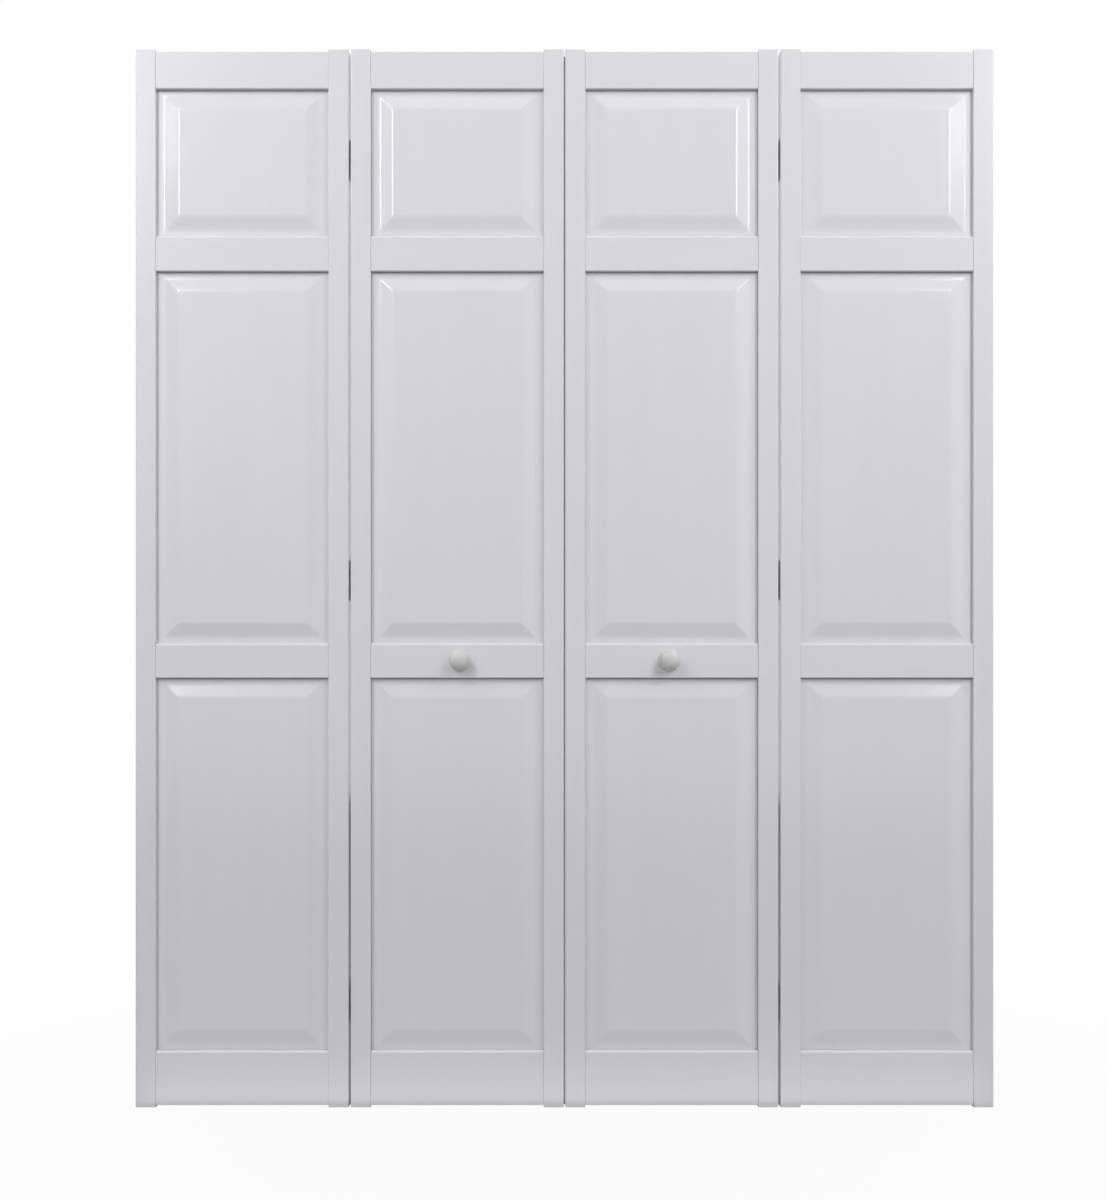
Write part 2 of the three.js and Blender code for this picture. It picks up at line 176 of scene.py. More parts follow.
def joined(shells):
    # one new mesh of all the shells, which keeps their order the same in every run
    whole = bmesh.new()
    for shell in shells:
        data = bpy.data.meshes.new("shell")
        shell.to_mesh(data)
        shell.free()
        whole.from_mesh(data)
        bpy.data.meshes.remove(data)
    return whole


def dress(piece, node, material, grain=0.0):
    # hands a finished piece to the frame in place of its CAD node
    piece.data.materials.clear()
    piece.data.materials.append(material)
    shift = piece.data.attributes.new("grainShift", "FLOAT", "POINT")
    shift.data.foreach_set("value", [grain] * len(piece.data.vertices))
    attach(piece, frame["nodes"][node]["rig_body"])
    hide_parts(node)


# Node trees

def addNode(tree, kind, links=None, **settings):
    node = tree.nodes.new(kind)
    for key, value in settings.items():
        setattr(node, key, value)
    for key, value in (links or {}).items():
        if isinstance(value, bpy.types.NodeSocket):
            tree.links.new(value, node.inputs[key])
        else:
            node.inputs[key].default_value = value
    return node


def calc(tree, operation, *values):
    return addNode(tree, "ShaderNodeMath", dict(enumerate(values)), operation=operation).outputs[0]


def vector(tree, **parts):
    return addNode(tree, "ShaderNodeCombineXYZ", parts).outputs[0]


def newTree(name, inputs):
    tree = bpy.data.node_groups.new(name, "GeometryNodeTree")
    for label, kind in inputs:
        tree.interface.new_socket(name=label, in_out="INPUT", socket_type="NodeSocket" + kind)
    tree.interface.new_socket(name="Geometry", in_out="OUTPUT", socket_type="NodeSocketGeometry")
    return tree


def finishTree(tree, geometry, surface):
    # every tree ends in plain geometry with its finish on
    real = addNode(tree, "GeometryNodeRealizeInstances", {"Geometry": geometry}).outputs[0]
    painted = addNode(tree, "GeometryNodeSetMaterial", {"Geometry": real, "Material": surface}).outputs[0]
    addNode(tree, "NodeGroupOutput", {"Geometry": painted})
    return tree


def grownPiece(name, tree, values):
    # runs a tree on an empty mesh, with each input set by its socket's identifier
    piece = newPiece(name, bpy.data.meshes.new(name))
    modifier = piece.modifiers.new(tree.name, "NODES")
    modifier.node_group = tree
    for item in tree.interface.items_tree:
        if item.in_out == "INPUT":
            modifier[item.identifier] = values[item.name]
    runModifiers(piece)
    return piece


# Finishes

def newFinish(name):
    # a new material, its tree and the shader that it starts with
    material = bpy.data.materials.new(name)
    material.use_nodes = True
    return material, material.node_tree, material.node_tree.nodes["Principled BSDF"]


def noise(tree, place, scale, detail, roughness=0.5):
    settings = {"Vector": place, "Scale": scale, "Detail": detail, "Roughness": roughness}
    return addNode(tree, "ShaderNodeTexNoise", settings).outputs["Fac"]


def paint(tree, surface, finish, pattern):
    # the colour runs from the shade to the full colour with the pattern
    ramp = addNode(tree, "ShaderNodeValToRGB", {"Fac": pattern})
    ramp.color_ramp.elements[0].color = finish["shade"]
    ramp.color_ramp.elements[1].color = finish["colour"]
    tree.links.new(ramp.outputs[0], surface.inputs["Base Color"])


def polish(tree, surface, finish, pattern, low=0.0, high=1.0):
    # the roughness runs between its two ends as the pattern goes from low to high
    smooth, rough = finish["roughness"]
    settings = {"Value": pattern, "From Min": low, "From Max": high, "To Min": smooth, "To Max": rough}
    tree.links.new(addNode(tree, "ShaderNodeMapRange", settings).outputs[0], surface.inputs["Roughness"])


def raised(tree, surface, height, distance=1.0, strength=1.0):
    settings = {"Strength": strength, "Distance": distance, "Height": height}
    tree.links.new(addNode(tree, "ShaderNodeBump", settings).outputs[0], surface.inputs["Normal"])


vinyl = {
    "colour": (0.775, 0.775, 0.812, 1),
    "shade": (0.745, 0.745, 0.785, 1),
    "roughness": (0.13, 0.18),
    "grainAcross": 900.0,
    "grainAlong": 9.0,
    "grainDepth": 0.03 * mm,
    "waveAcross": 26.0,
    "waveAlong": 3.0,
    "waveDepth": 0.2 * mm,
    "sinkReach": 24.0 * mm,
    "sinkDepth": 0.35 * mm,
    "sinkInward": 19.0 * mm,
    "sinkBelow": 3.0 * mm,
}


def grainNoise(tree, place, along, acrossScale, alongScale, detail, roughness):
    # noise drawn out along X or Z
    scale = (alongScale, acrossScale, acrossScale) if along == "X" else (acrossScale, acrossScale, alongScale)
    drawn = addNode(tree, "ShaderNodeMapping", {"Vector": place, "Scale": scale}).outputs[0]
    return noise(tree, drawn, 1.0, detail, roughness)


def vinylMaterial(name, along, sink=None):
    # embossed satin vinyl, its grain running along X or Z
    material, tree, surface = newFinish(name)
    place = addNode(tree, "ShaderNodeTexCoord").outputs["Object"]
    shift = addNode(tree, "ShaderNodeAttribute", attribute_name="grainShift").outputs["Fac"]
    moved = addNode(tree, "ShaderNodeVectorMath", {0: place, 1: shift}, operation="ADD").outputs[0]
    grain = grainNoise(tree, moved, along, vinyl["grainAcross"], vinyl["grainAlong"], 5.0, 0.6)
    broad = grainNoise(tree, moved, along, vinyl["waveAcross"], vinyl["waveAlong"], 2.0, 0.5)
    paint(tree, surface, vinyl, broad)
    polish(tree, surface, vinyl, grain, 0.3, 0.7)
    fine = calc(tree, "MULTIPLY", grain, vinyl["grainDepth"])
    wave = calc(tree, "MULTIPLY", broad, vinyl["waveDepth"])
    height = calc(tree, "ADD", fine, wave)
    if sink:
        # the faint sink where the panel's mould was filled
        away = addNode(tree, "ShaderNodeVectorMath", {0: place, 1: sink}, operation="DISTANCE").outputs["Value"]
        settings = {"Value": away, "From Max": vinyl["sinkReach"], "To Min": -vinyl["sinkDepth"], "To Max": 0.0}
        dip = addNode(tree, "ShaderNodeMapRange", settings, interpolation_type="SMOOTHSTEP").outputs[0]
        height = calc(tree, "ADD", height, dip)
    raised(tree, surface, height)
    return material


plastic = {
    "shade": (0.66, 0.67, 0.645, 1),
    "colour": (0.72, 0.725, 0.70, 1),
    "roughness": (0.2, 0.32),
    "cloudScale": 60.0,
    "peelScale": 420.0,
    "peelDepth": 0.02 * mm,
    "peelStrength": 0.25,
}


def knobMaterial():
    # glossy moulded plastic, a little warmer than the leaves
    material, tree, surface = newFinish("knobPlastic")
    place = addNode(tree, "ShaderNodeTexCoord").outputs["Object"]
    cloud = noise(tree, place, plastic["cloudScale"], 3.0)
    paint(tree, surface, plastic, cloud)
    polish(tree, surface, plastic, cloud)
    peel = noise(tree, place, plastic["peelScale"], 2.0)
    raised(tree, surface, peel, plastic["peelDepth"], plastic["peelStrength"])
    return material


zinc = {
    "shade": (0.50, 0.515, 0.53, 1),
    "colour": (0.66, 0.665, 0.65, 1),
    "roughness": (0.24, 0.46),
    "cloudScale": 90.0,
    "lineDepth": 0.02 * mm,
    "lineStrength": 0.3,
}


def zincMaterial(name, stretch):
    # zinc-plated steel with rolling marks along one axis
    material, tree, surface = newFinish(name)
    surface.inputs["Metallic"].default_value = 1.0
    place = addNode(tree, "ShaderNodeTexCoord").outputs["Object"]
    paint(tree, surface, zinc, noise(tree, place, zinc["cloudScale"], 4.0))
    drawn = addNode(tree, "ShaderNodeMapping", {"Vector": place, "Scale": stretch}).outputs[0]
    lines = noise(tree, drawn, 1.0, 4.0)
    polish(tree, surface, zinc, lines)
    raised(tree, surface, lines, zinc["lineDepth"], zinc["lineStrength"])
    return material


stileVinyl = vinylMaterial("stileVinyl", "Z")
railVinyl = vinylMaterial("railVinyl", "X")
panelVinyl = vinylMaterial("panelVinyl", "Z")
knobPlastic = knobMaterial()
hingeZinc = zincMaterial("hingeZinc", (2600, 2600, 60))
screwZinc = zincMaterial("screwZinc", (1500, 200, 1500))
pinZinc = zincMaterial("pinZinc", (60, 60, 2200))
print("Finishes made")


# Leaves, each with its stiles named from left to right
leaves = {
    "left_outer": ("pivot", "fold"),
    "left_inner": ("fold", "lead"),
    "right_inner": ("lead", "fold"),
    "right_outer": ("fold", "pivot"),
}

stile = {
    "edgeRadius": 3.0 * mm,
    "innerRadius": 1.0 * mm,
    "grooveDepth": 9.0 * mm,
    "grooveHalf": 2.1 * mm,
    "endRound": 0.5 * mm,
    "pinInset": 19.0 * mm,
    "boreRadius": 4.3 * mm,
    "boreSides": 32,
    "topBore": 54.0 * mm,
    "bottomBore": 60.3 * mm,
}


def boreCutter(x, low, high):
    profile = [(0, low), (stile["boreRadius"], low), (stile["boreRadius"], high), (0, high)]
    return newPiece("cutter", turnedPiece(profile, stile["boreSides"], lambda a, b, t: Vector((x + a, b, t))))


def makeStile(node, onLeft, kind, grain):
    low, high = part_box(node)
    depth, width, side = high.y, high.x - low.x, 1 if onLeft else -1
    edge = low.x if onLeft else high.x
    groove, half = width - stile["grooveDepth"], stile["grooveHalf"]
    corners = [
        (0, -depth, stile["edgeRadius"]), (width, -depth, stile["innerRadius"]),
        (width, -half, 0), (groove, -half, 0), (groove, half, 0), (width, half, 0),
        (width, depth, stile["innerRadius"]), (0, depth, stile["edgeRadius"]),
    ]
    outline = filleted(corners, 7)
    body = drawnOut(outline, low.z, high.z, lambda a, b, t: Vector((edge + side * a, b, t)), stile["endRound"])
    piece = newPiece(node + "_shown", body)
    if kind != "fold":
        x = edge + side * stile["pinInset"]
        combine(piece, boreCutter(x, high.z - stile["topBore"], high.z + overrun), "DIFFERENCE")
        if kind == "pivot":
            combine(piece, boreCutter(x, low.z - overrun, low.z + stile["bottomBore"]), "DIFFERENCE")
    smoothNormals(piece)
    dress(piece, node, stileVinyl, grain)


rail = {
    "tenon": 8.3 * mm,
    "tenonHalf": 1.8 * mm,
    "grooveDepth": 9.0 * mm,
    "grooveHalf": 2.1 * mm,
    "chamfer": 4.0 * mm,
    "edgeBreak": 0.8 * mm,
    "cornerRadius": 0.5 * mm,
    "chamferRadius": 1.2 * mm,
}
railPlaces = {"bottom": (False, True), "lock": (True, True), "upper": (True, True), "top": (True, False)}


def makeRail(node, panelUnder, panelOver, grain):
    low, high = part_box(node)
    depth, half = high.y, rail["grooveHalf"]
    lower = rail["edgeBreak"] if panelUnder else 0
    upper = rail["chamfer"] if panelOver else 0
    front = [(-depth, low.z + lower, rail["cornerRadius"])]
    if upper:
        front += [(-depth, high.z - upper, rail["chamferRadius"]), (-depth + upper, high.z, rail["chamferRadius"])]
        front += [(-half, high.z, 0), (-half, high.z - rail["grooveDepth"], 0)]
    else:
        front += [(-depth, high.z, rail["cornerRadius"])]
    back = [(-y, z, radius) for y, z, radius in reversed(front)]
    under = []
    if lower:
        foot = [(depth - lower, low.z, rail["cornerRadius"] / 2)]
        foot += [(half, low.z, 0), (half, low.z + rail["grooveDepth"], 0)]
        under = foot + [(-y, z, radius) for y, z, radius in reversed(foot)]
    outline = filleted(front + back + under, 4)
    start, end = low.x + rail["tenon"], high.x - rail["tenon"]
    body = drawnOut(outline, start, end, lambda a, b, t: Vector((t, a, b)))
    piece = newPiece(node + "_shown", body)
    foot = low.z + (rail["grooveDepth"] if panelUnder else 0)
    head = high.z - (rail["grooveDepth"] if panelOver else 0)
    thin = rail["tenonHalf"]
    section = [(-thin, foot), (thin, foot), (thin, head), (-thin, head)]
    tenons = drawnOut(section, low.x, high.x, lambda a, b, t: Vector((t, a, b)))
    combine(piece, newPiece("tenons", tenons), "UNION")
    smoothNormals(piece)
    dress(piece, node, railVinyl, grain)


# how far the grain is moved on from one leaf to the next, and from piece to piece within a leaf
grainShift = {"stile": (0.37, 0.19), "rail": (0.53, 0.13), "panel": (0.71, 0.23)}


def grainOf(kind, number, order):
    perLeaf, perPiece = grainShift[kind]
    return perLeaf * number + perPiece * order


for number, (leaf, (leftKind, rightKind)) in enumerate(leaves.items()):
    makeStile(f"{leaf}_{leftKind}_stile", True, leftKind, grainOf("stile", number, 0))
    makeStile(f"{leaf}_{rightKind}_stile", False, rightKind, grainOf("stile", number, 1))
    for order, (place, (under, over)) in enumerate(railPlaces.items()):
        makeRail(f"{leaf}_{place}_rail", under, over, grainOf("rail", number, order))
print("Stiles and rails made")


# Raised panels, grown by one tree from nested rings that step in from the tongue to the field
panel = {
    "Tongue Length": 8.0 * mm,
    "Half Tongue": 1.8 * mm,
    "Shoulder Gap": 0.3 * mm,
    "Top Reveal": 1.1 * mm,
    "Rim Round": 0.4 * mm,
    "Margin Depth": 4.5 * mm,
    "Field Depth": 11.0 * mm,
    "Side Margin": 12.0 * mm,
    "End Margin": 7.5 * mm,
    "Bevel Width": 34.0 * mm,
    "Crease Share": 0.24,
    "Corner Radius": 3.0 * mm,
}
# the rings, counted inwards from the tongue's tip
tongueRing, shoulderRing, wallRing, rimRing, firstBevelRing, bevelSteps = 1, 2, 3, 4, 5, 24
cornerSteps = 6


def panelTree():
    inputs = [(name, "Float") for name in ("Width", "Height", *panel)]
    tree = newTree("raisedPanel", inputs + [("Middle", "Vector"), ("Surface", "Material")])
    given = addNode(tree, "NodeGroupInput").outputs

    def total(*parts):
        result = parts[0]
        for part in parts[1:]:
            result = calc(tree, "ADD", result, part)
        return result

    def less(a, b):
        return calc(tree, "SUBTRACT", a, b)

    def times(a, b):
        return calc(tree, "MULTIPLY", a, b)

    def over(a, b):
        return calc(tree, "DIVIDE", a, b)

    def atLeast(a, b):
        return calc(tree, "MAXIMUM", a, b)

    def atMost(a, b):
        return calc(tree, "MINIMUM", a, b)

    # a grid from -0.5 to 0.5 each way, whose rows become rings and whose columns go round them
    lastRing, columns = firstBevelRing + bevelSteps + 1, 4 * (cornerSteps + 1)
    counts = {"Size X": 1.0, "Size Y": 1.0, "Vertices X": lastRing + 1, "Vertices Y": columns + 1}
    grid = addNode(tree, "GeometryNodeMeshGrid", counts).outputs["Mesh"]
    spot = addNode(tree, "ShaderNodeSeparateXYZ", {0: addNode(tree, "GeometryNodeInputPosition").outputs[0]}).outputs
    ring = calc(tree, "ROUND", times(total(spot["X"], 0.5), lastRing))
    column = calc(tree, "ROUND", times(total(spot["Y"], 0.5), columns))

    def past(number):
        return calc(tree, "GREATER_THAN", ring, number - 0.5)

    # corner number, and the angle round that corner, with a nudge that keeps a whole number whole
    turns = over(total(column, 0.01), cornerSteps + 1)
    corner = calc(tree, "MODULO", calc(tree, "FLOOR", turns), 4.0)
    within = over(calc(tree, "MODULO", column, float(cornerSteps + 1)), cornerSteps)
    angle = times(total(corner, within), math.pi / 2)
    middle = times(total(corner, 0.5), math.pi / 2)
    sideX = calc(tree, "SIGN", calc(tree, "COSINE", middle))
    sideZ = calc(tree, "SIGN", calc(tree, "SINE", middle))

    # the bevel rises over a soft outer crease, a straight slope and a soft inner crease
    share = atMost(atLeast(over(less(ring, firstBevelRing), bevelSteps), 0.0), 1.0)
    crease = given["Crease Share"]
    early = atLeast(less(crease, share), 0.0)
    late = atLeast(less(share, less(1.0, crease)), 0.0)
    bend = less(times(early, early), times(late, late))
    straight = less(share, times(crease, 0.5))
    rise = over(total(straight, over(bend, times(crease, 2.0))), less(1.0, crease))
    rise = times(rise, past(firstBevelRing))

    tongue, rim = given["Tongue Length"], given["Rim Round"]
    depth = total(
        times(given["Half Tongue"], past(tongueRing)),
        times(less(less(given["Margin Depth"], rim), given["Half Tongue"]), past(wallRing)),
        times(rim, past(rimRing)),
        times(less(given["Field Depth"], given["Margin Depth"]), rise),
    )

    halfX = total(times(given["Width"], 0.5), tongue)
    halfZ = total(times(given["Height"], 0.5), tongue)
    fieldX = less(halfX, total(tongue, given["Side Margin"], given["Bevel Width"]))
    fieldZ = less(halfZ, total(tongue, given["End Margin"], given["Bevel Width"]))
    closing = times(atMost(fieldX, fieldZ), past(lastRing))

    def inset(gap, margin):
        shoulder = total(tongue, gap)
        return total(
            times(shoulder, past(shoulderRing)),
            times(rim, past(rimRing)),
            times(less(less(total(tongue, margin), shoulder), rim), past(firstBevelRing)),
            times(given["Bevel Width"], share),
            closing,
        )

    insetX = inset(given["Shoulder Gap"], given["Side Margin"])
    insetLow = inset(given["Shoulder Gap"], given["End Margin"])
    insetHigh = inset(given["Top Reveal"], given["End Margin"])
    insetZ = total(insetLow, times(less(insetHigh, insetLow), times(total(sideZ, 1.0), 0.5)))
    radius = times(times(given["Corner Radius"], past(firstBevelRing)), less(1.0, past(lastRing)))
    x = total(times(sideX, less(less(halfX, insetX), radius)), times(radius, calc(tree, "COSINE", angle)))
    z = total(times(sideZ, less(less(halfZ, insetZ), radius)), times(radius, calc(tree, "SINE", angle)))

    # the same face on both sides, sewn together at the tongue's tip
    faces = []
    for sign in (-1.0, 1.0):
        place = vector(tree, X=x, Y=times(depth, sign), Z=z)
        faces.append(addNode(tree, "GeometryNodeSetPosition", {"Geometry": grid, "Position": place}).outputs[0])
    faces[0] = addNode(tree, "GeometryNodeFlipFaces", {"Mesh": faces[0]}).outputs[0]
    both = addNode(tree, "GeometryNodeJoinGeometry")
    for face in faces:
        tree.links.new(face, both.inputs[0])
    settings = {"Geometry": both.outputs[0], "Distance": 0.01 * mm}
    closed = addNode(tree, "GeometryNodeMergeByDistance", settings).outputs[0]
    moved = addNode(tree, "GeometryNodeTransform", {"Geometry": closed, "Translation": given["Middle"]}).outputs[0]
    return finishTree(tree, moved, given["Surface"])


raisedPanel = panelTree()
for number, leaf in enumerate(leaves):
    for order, place in enumerate(("bottom", "middle", "top")):
        node = f"{leaf}_{place}_panel"
        low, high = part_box(node)
        middle = (low + high) / 2
        surface = panelVinyl
        if place == "top" and "outer" in leaf:
            side = -1 if leaf.startswith("left") else 1
            sink = (middle.x - side * vinyl["sinkInward"], low.y, middle.z - vinyl["sinkBelow"])
            surface = vinylMaterial(f"panelVinyl_{leaf}", "Z", sink)
        tongues = 2 * panel["Tongue Length"]
        width, height = high.x - low.x - tongues, high.z - low.z - tongues
        values = {**panel, "Width": width, "Height": height, "Middle": middle, "Surface": surface}
        piece = grownPiece(node + "_shown", raisedPanel, values)
        smoothNormals(piece)
        dress(piece, node, surface, grainOf("panel", number, order))
print("Raised panels grown")


# Knobs and the screws that hold them from behind
knob = {
    "headRadius": 17.6 * mm,
    "headRise": 11.0 * mm,
    "headUnder": 7.0 * mm,
    "neckRadius": 9.5 * mm,
    "neckHeight": 3.5 * mm,
    "footRadius": 20.5 * mm,
    "footHeight": 10.5 * mm,
    "footRim": 1.2 * mm,
    "rimRound": 0.6 * mm,
    "boreRadius": 2.3 * mm,
    "boreDepth": 13.3 * mm,
    "sides": 72,
    "sharpAngle": 50,
}


def quarterArc(start, end, bulgesOut, steps=12):
    points = []
    for step in range(1, steps + 1):
        angle = math.pi / 2 * step / steps
        across = math.sin(angle) if bulgesOut else 1 - math.cos(angle)
        up = 1 - math.cos(angle) if bulgesOut else math.sin(angle)
        points.append((start[0] + (end[0] - start[0]) * across, start[1] + (end[1] - start[1]) * up))
    return points


def makeKnob(node):
    low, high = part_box(node)
    x, z, back = (low.x + high.x) / 2, (low.z + high.z) / 2, high.y
    neckTop = knob["footHeight"] + knob["neckHeight"]
    widest = neckTop + knob["headUnder"]
    crown = widest + knob["headRise"]
    bore, foot = knob["boreRadius"], knob["footRadius"]
    profile = [(0, knob["boreDepth"]), (bore, knob["boreDepth"]), (bore, 0)]
    profile += filleted([(bore, 0, 0), (foot, 0, knob["rimRound"]), (foot, knob["footRim"], 0)], 4, False)[1:]
    profile += quarterArc(profile[-1], (knob["neckRadius"], knob["footHeight"]), False)
    profile += [(knob["neckRadius"], neckTop)]
    profile += quarterArc(profile[-1], (knob["headRadius"], widest), True)
    profile += quarterArc(profile[-1], (0, crown), False, 18)
    body = turnedPiece(profile, knob["sides"], lambda a, b, t: Vector((x + a, back - t, z + b)))
    piece = newPiece(node + "_shown", body)
    smoothNormals(piece, knob["sharpAngle"])
    dress(piece, node, knobPlastic)


screw = {
    "tipShare": 0.4,
    "pointShare": 2.5,
    "seatShare": 0.96,
    "lipShare": 0.15,
    "recessLongShare": 0.62,
    "recessWideShare": 0.17,
    "recessDepthShare": 0.55,
    "recessOverrun": 1.0 * mm,
    "domeSteps": 5,
    "sides": 28,
}
knobScrew = {"rise": 2.2 * mm, "dome": 1.5 * mm, "shank": 2.0 * mm}
knobScrewTurns = {"left": 0.4, "right": 1.1}  # radians


def crossedScrew(name, headRadius, rise, dome, shank, length, place):
    # a driven screw lying along Y, its head's seat on zero, with a crossed recess
    profile = [(0, -length), (shank * screw["tipShare"], -length), (shank, -length + screw["pointShare"] * shank)]
    profile += [(shank, 0), (headRadius * screw["seatShare"], 0)]
    profile += [(headRadius, rise * screw["lipShare"]), (headRadius, rise - dome)]
    for step in range(1, screw["domeSteps"] + 1):
        angle = math.pi / 2 * step / screw["domeSteps"]
        profile.append((headRadius * math.cos(angle), rise - dome + dome * math.sin(angle)))
    profile[-1] = (0, rise)
    piece = newPiece(name, turnedPiece(profile, screw["sides"], lambda a, b, t: Vector((a, t, b))))
    long, wide = headRadius * screw["recessLongShare"], headRadius * screw["recessWideShare"]
    floor = rise - rise * screw["recessDepthShare"]
    for a, b in ((long, wide), (wide, long)):
        slot = [(-a, -b), (a, -b), (a, b), (-a, b)]
        cutter = drawnOut(slot, floor, rise + screw["recessOverrun"], lambda u, v, t: Vector((u, t, v)))
        combine(piece, newPiece("cutter", cutter), "DIFFERENCE")
    piece.data.transform(place)
    return piece


def makeKnobScrew(node, turn):
    low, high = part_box(node)
    seat = high.y - knobScrew["rise"]
    place = Matrix.Translation(((low.x + high.x) / 2, seat, (low.z + high.z) / 2)) @ Matrix.Rotation(turn, 4, "Y")
    piece = crossedScrew(node + "_shown", (high.x - low.x) / 2, **knobScrew, length=seat - low.y, place=place)
    smoothNormals(piece)
    dress(piece, node, screwZinc)


for side, turn in knobScrewTurns.items():
    makeKnob(side + "_knob")
    makeKnobScrew(side + "_knob_screw", turn)
print("Knobs made")


# Pivot pins and guide pins
pin = {"chamfer": 1.0 * mm, "radius": 0.5 * mm, "sides": 40}


def makePin(node):
    low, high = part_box(node)
    x, reach = (low.x + high.x) / 2, (high.x - low.x) / 2
    small = reach - pin["chamfer"]
    corners = [
        (0, low.z, 0), (small, low.z, pin["radius"]), (reach, low.z + pin["chamfer"], pin["radius"]),
        (reach, high.z - pin["chamfer"], pin["radius"]), (small, high.z, pin["radius"]), (0, high.z, 0),
    ]
    profile = filleted(corners, 3, False)
    piece = newPiece(node + "_shown", turnedPiece(profile, pin["sides"], lambda a, b, t: Vector((x + a, b, t))))
    smoothNormals(piece)
    dress(piece, node, pinZinc)


for side in ("left", "right"):
    for kind in ("bottom_pivot_pin", "top_pivot_pin", "guide_pin"):
        makePin(f"{side}_{kind}")
print("Pins made")


# Hinges: plates with rolled knuckles, then their screws by a tree
hinge = {
    "length": 76.0 * mm,
    "thickness": 1.6 * mm,
    "front": 14.6 * mm,
    "axisY": 17.3 * mm,
    "axisX": 406.4 * mm,
    "knuckleRadius": 3.0 * mm,
    "knuckleGap": 0.4 * mm,
    "knuckles": 5,
    "knuckleSides": 32,
    "pinRadius": 1.5 * mm,
    "pinSides": 24,
    "boreRadius": 1.8 * mm,
    "boreWall": 0.1 * mm,
    "plateEdge": 3.2 * mm,
    "cornerRadius": 3.0 * mm,
    "edgeRound": 0.25 * mm,
}


def makeHingePlate(node, outward, carriesPin):
    low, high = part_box(node)
    middle = (low.z + high.z) / 2
    axisX = math.copysign(hinge["axisX"], low.x)
    pitch = (hinge["length"] + hinge["knuckleGap"]) / hinge["knuckles"]
    knuckle = pitch - hinge["knuckleGap"]
    half = hinge["length"] / 2
    base = middle - half
    reach = (high.x - axisX) if outward > 0 else (axisX - low.x)
    inner = 0.0 if carriesPin else hinge["boreRadius"] + hinge["boreWall"]
    edge, radius = hinge["plateEdge"], hinge["cornerRadius"]

    def aboutAxis(a, b, t):
        return Vector((axisX + a, hinge["axisY"] + b, t))

    corners = [(reach, half, radius), (reach, -half, radius)]
    tabs = list(range(0 if carriesPin else 1, hinge["knuckles"], 2))
    if not carriesPin:
        corners.append((edge, -half, 0))
    for place in tabs:
        foot = place * pitch - half
        head = foot + knuckle
        if place:
            corners.append((edge, foot, 0))
        corners += [(inner, foot, 0), (inner, head, 0)]
        if place < hinge["knuckles"] - 1:
            corners.append((edge, head, 0))
    if not carriesPin:
        corners.append((edge, half, 0))
    outline = filleted(corners, 5)
    shells = [drawnOut(outline, hinge["front"], hinge["front"] + hinge["thickness"],
                       lambda a, b, t: Vector((axisX + outward * a, t, middle + b)), hinge["edgeRound"])]
    ends = hinge["edgeRound"]
    outer, hole = hinge["knuckleRadius"], (0.0 if carriesPin else hinge["boreRadius"])
    for place in tabs:
        foot = base + place * pitch
        head = foot + knuckle
        profile = [(hole, foot), (outer - ends, foot), (outer, foot + ends)]
        profile += [(outer, head - ends), (outer - ends, head), (hole, head)]
        shells.append(turnedPiece(profile, hinge["knuckleSides"], aboutAxis))
    if carriesPin:
        top, radius = base + hinge["length"], hinge["pinRadius"]
        profile = [(0, base), (radius, base), (radius, top), (0, top)]
        shells.append(turnedPiece(profile, hinge["pinSides"], aboutAxis))
    piece = newPiece(node + "_shown", joined(shells))
    smoothNormals(piece)
    dress(piece, node, hingeZinc)


hingeScrews = {
    "First Hinge": 196.0 * mm,
    "Hinge Spacing": 804.0 * mm,
    "Screw Pitch": 25.0 * mm,
    "Plate Back": 16.2 * mm,
    "Reach": 13.2 * mm,
    "Stagger": 3.0 * mm,
    "Seed": 4,
}
plateScrew = {"headRadius": 3.2 * mm, "rise": 0.8 * mm, "dome": 0.55 * mm, "shank": 1.6 * mm, "length": 15.0 * mm}


